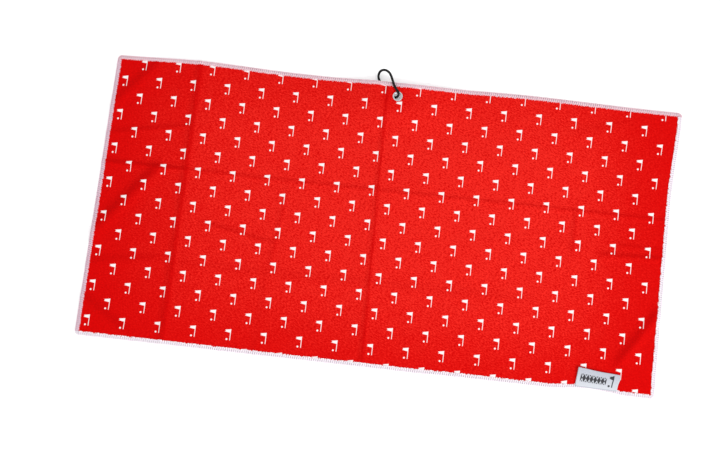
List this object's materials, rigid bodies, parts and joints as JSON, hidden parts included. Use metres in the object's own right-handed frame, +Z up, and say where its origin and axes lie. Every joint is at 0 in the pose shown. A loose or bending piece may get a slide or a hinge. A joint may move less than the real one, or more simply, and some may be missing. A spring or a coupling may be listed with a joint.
{
  "type": "golf towel",
  "caption": "Oblong microfibre golf towel with overlocked hems, a grommet at mid edge, a small spring-gate clip through it and a folded woven side label.",
  "frame": {"origin": "centre of the towel's underside, on the surface it lies on", "axes": "+X along the towel's long side, +Y towards the long hem that holds the grommet, +Z up out of the printed face"},
  "size_m": [0.8, 0.4167, 0.0189],
  "materials": {
    "towel_cloth": "matt microfibre with a fine waffle grain and a small white print",
    "hem_thread": "soft matt thread",
    "label_weave": "fine ribbed weave with a slight satin sheen",
    "grommet_metal": "bright nickel plate",
    "clip_black": "glossy black anodised",
    "pin_steel": "satin",
    "spring_steel": "satin"
  },
  "bodies": {
    "towel": {"towel_panel": "towel_cloth", "overlock_top": "hem_thread", "overlock_bottom": "hem_thread", "overlock_left": "hem_thread", "overlock_right": "hem_thread", "grommet_eyelet": "grommet_metal", "grommet_washer": "grommet_metal"},
    "clip": {"clip_body": "clip_black"},
    "gate": {"clip_gate": "clip_black", "gate_rivet": "pin_steel", "gate_latch_pin": "pin_steel", "gate_spring": "spring_steel", "gate_plunger": "spring_steel"},
    "label": {"side_label": "label_weave"}
  },
  "joints": [
    {"name": "clip_swivel", "type": "hinge", "parent": "towel", "child": "clip", "pos_m": [0.0035, 0.181, 0.0072], "axis": [0, 0, 1], "range_deg": [-80, 8]},
    {"name": "gate_hinge", "type": "hinge", "parent": "clip", "child": "gate", "pos_m": [-0.00562, 0.18333, 0.00263], "axis": [0.4861, 0.4844, -0.7273], "range_deg": [0, 14], "stiffness_Nm_per_rad": 0.02, "springref_deg": -22.92},
    {"name": "label_flip", "type": "hinge", "parent": "towel", "child": "label", "pos_m": [0.319, -0.1945, 0.0025], "axis": [1, 0, 0], "range_deg": [0, 150]}
  ]
}
